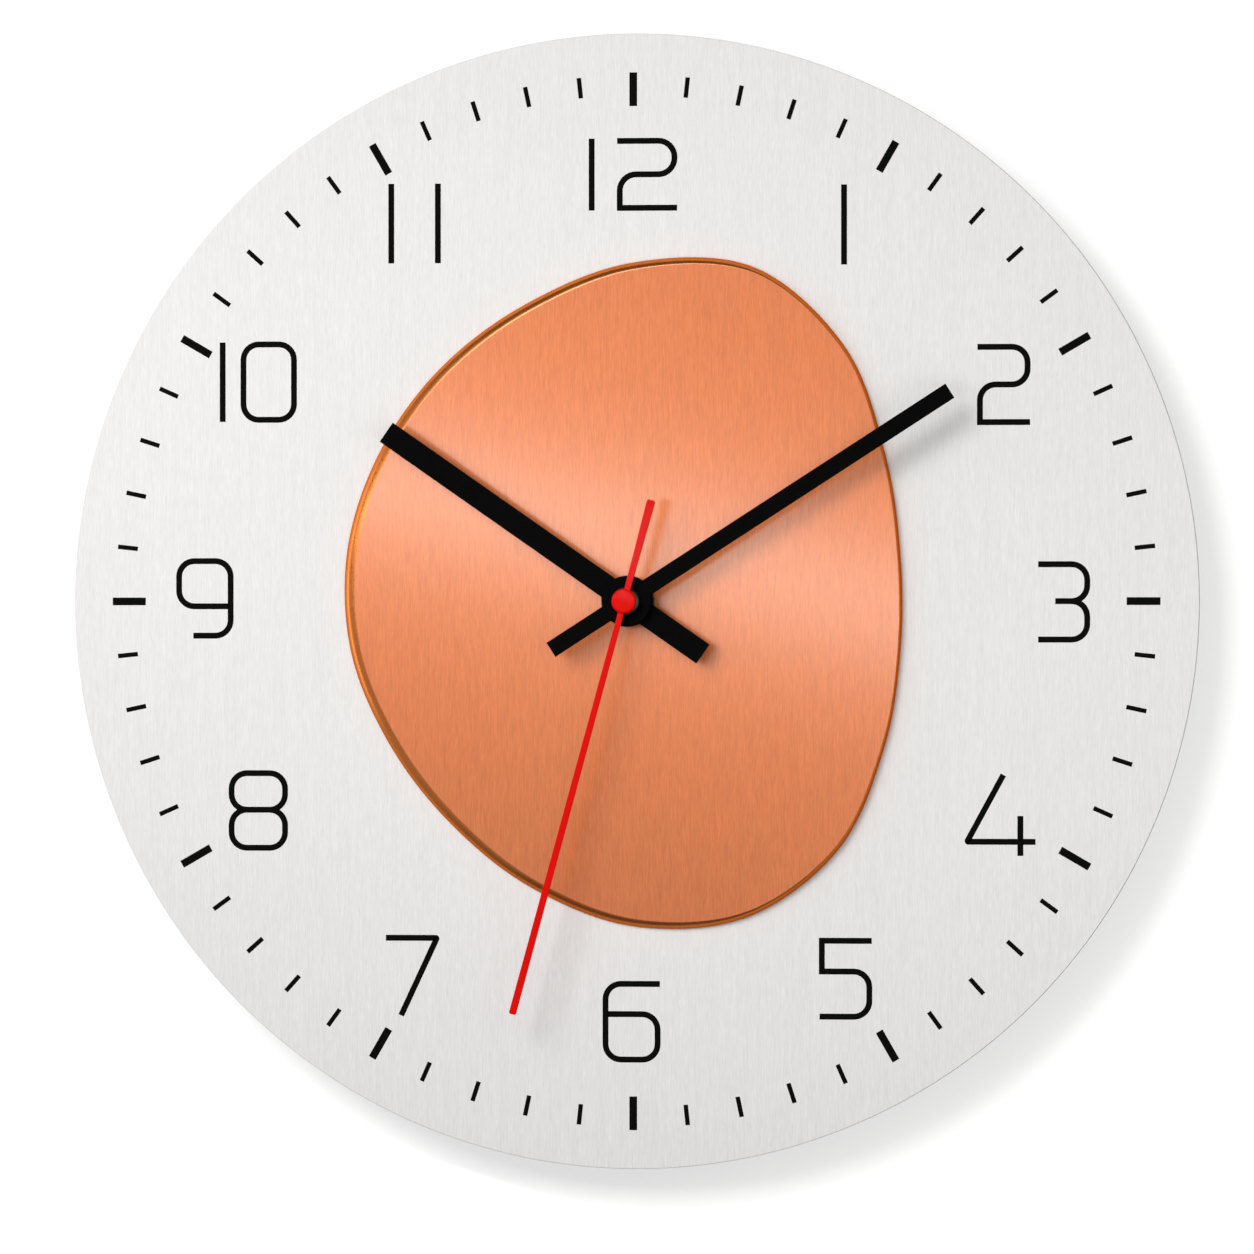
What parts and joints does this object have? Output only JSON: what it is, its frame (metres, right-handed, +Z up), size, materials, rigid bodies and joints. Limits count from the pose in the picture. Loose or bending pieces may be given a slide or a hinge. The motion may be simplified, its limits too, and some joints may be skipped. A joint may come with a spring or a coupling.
{
  "type": "wall clock",
  "caption": "Round wall clock with a flat aluminium dial, a raised egg-shaped copper-coloured plate, straight hands and a battery movement hung on a steel hook.",
  "frame": {"origin": "on the hand axis, where it meets the wall plane at the back of the movement case", "axes": "+Y into the wall, so the dial faces -Y; +Z up to 12; +X to 3, to the viewer's right"},
  "size_m": [0.3, 0.0382, 0.3],
  "materials": {
    "dial_metal": "fine vertical brushing, clear anodised",
    "copper_metal": "copper-coloured anodised, brushed, with polished sides",
    "black_lacquer": "satin black lacquer",
    "red_lacquer": "gloss red lacquer",
    "brass": "turned",
    "steel": "zinc plated",
    "black_plastic": "fine spark-eroded grain",
    "white_plastic": "moulded",
    "rubber": "matt",
    "foam": "double-sided foam tape",
    "cell_jacket": "printed sleeve",
    "board": "solder mask",
    "copper_wire": "enamelled",
    "magnet": "sintered"
  },
  "bodies": {
    "clock": {"dial_plate": "dial_metal", "accent_plate": "copper_metal", "plate_spacer": "brass", "foam_pad_1": "foam", "foam_pad_2": "foam", "foam_pad_3": "foam", "foam_pad_4": "foam", "threaded_stem": "brass", "stem_gasket": "rubber", "stem_washer": "brass", "stem_nut": "brass", "hanger_plate": "steel", "case_front": "black_plastic", "case_rear": "black_plastic", "case_screw_1": "steel", "case_screw_2": "steel", "middle_plate": "white_plastic", "battery_cell": "cell_jacket", "contact_positive": "steel", "contact_negative": "steel", "contact_spring": "steel", "circuit_board": "board", "control_chip": "black_plastic", "quartz_crystal": "steel", "coil_bobbin": "white_plastic", "coil_winding": "copper_wire", "coil_core": "steel", "stator_plate": "steel"},
    "seconds": {"second_hand": "red_lacquer", "second_tube": "brass", "second_cap": "red_lacquer", "seconds_arbor": "steel", "seconds_wheel": "white_plastic"},
    "minutes": {"minute_hand": "black_lacquer", "minute_collet": "brass", "minute_nut": "black_lacquer", "minute_pipe": "brass", "centre_wheel": "white_plastic"},
    "hours": {"hour_hand": "black_lacquer", "hour_collet": "brass", "hour_wheel": "white_plastic"},
    "third": {"third_wheel": "white_plastic"},
    "intermediate": {"intermediate_wheel": "white_plastic"},
    "rotor": {"rotor_pinion": "white_plastic", "rotor_magnet": "magnet"},
    "setter": {"minute_wheel": "white_plastic", "setting_knob": "black_plastic"}
  },
  "joints": [
    {"name": "second_hand_turn", "type": "hinge", "parent": "clock", "child": "seconds", "pos_m": [0, -0.0065, 0], "axis": [0, 1, 0], "continuous": true},
    {"name": "minute_hand_turn", "type": "hinge", "parent": "clock", "child": "minutes", "pos_m": [0, -0.011, 0], "axis": [0, 1, 0], "continuous": true},
    {"name": "hour_hand_turn", "type": "hinge", "parent": "clock", "child": "hours", "pos_m": [0, -0.014, 0], "axis": [0, 1, 0], "continuous": true},
    {"name": "third_wheel_turn", "type": "hinge", "parent": "clock", "child": "third", "pos_m": [0.00846, -0.0081, 0.00308], "axis": [0, 1, 0], "continuous": true},
    {"name": "intermediate_wheel_turn", "type": "hinge", "parent": "clock", "child": "intermediate", "pos_m": [-0.00845, -0.0049, 0.00226], "axis": [0, 1, 0], "continuous": true},
    {"name": "rotor_turn", "type": "hinge", "parent": "clock", "child": "rotor", "pos_m": [-0.01445, -0.007, 0.00226], "axis": [0, 1, 0], "continuous": true},
    {"name": "setting_knob_turn", "type": "hinge", "parent": "clock", "child": "setter", "pos_m": [-0.00156, -0.0014, 0.00886], "axis": [0, 1, 0], "continuous": true}
  ],
  "couplings": [
    {"joint": "minute_hand_turn", "follows": "second_hand_turn", "ratio": 0.016667},
    {"joint": "hour_hand_turn", "follows": "second_hand_turn", "ratio": 0.0013889},
    {"joint": "third_wheel_turn", "follows": "second_hand_turn", "ratio": -0.13333},
    {"joint": "intermediate_wheel_turn", "follows": "second_hand_turn", "ratio": -6},
    {"joint": "rotor_turn", "follows": "second_hand_turn", "ratio": 30},
    {"joint": "setting_knob_turn", "follows": "second_hand_turn", "ratio": -0.0055556}
  ]
}
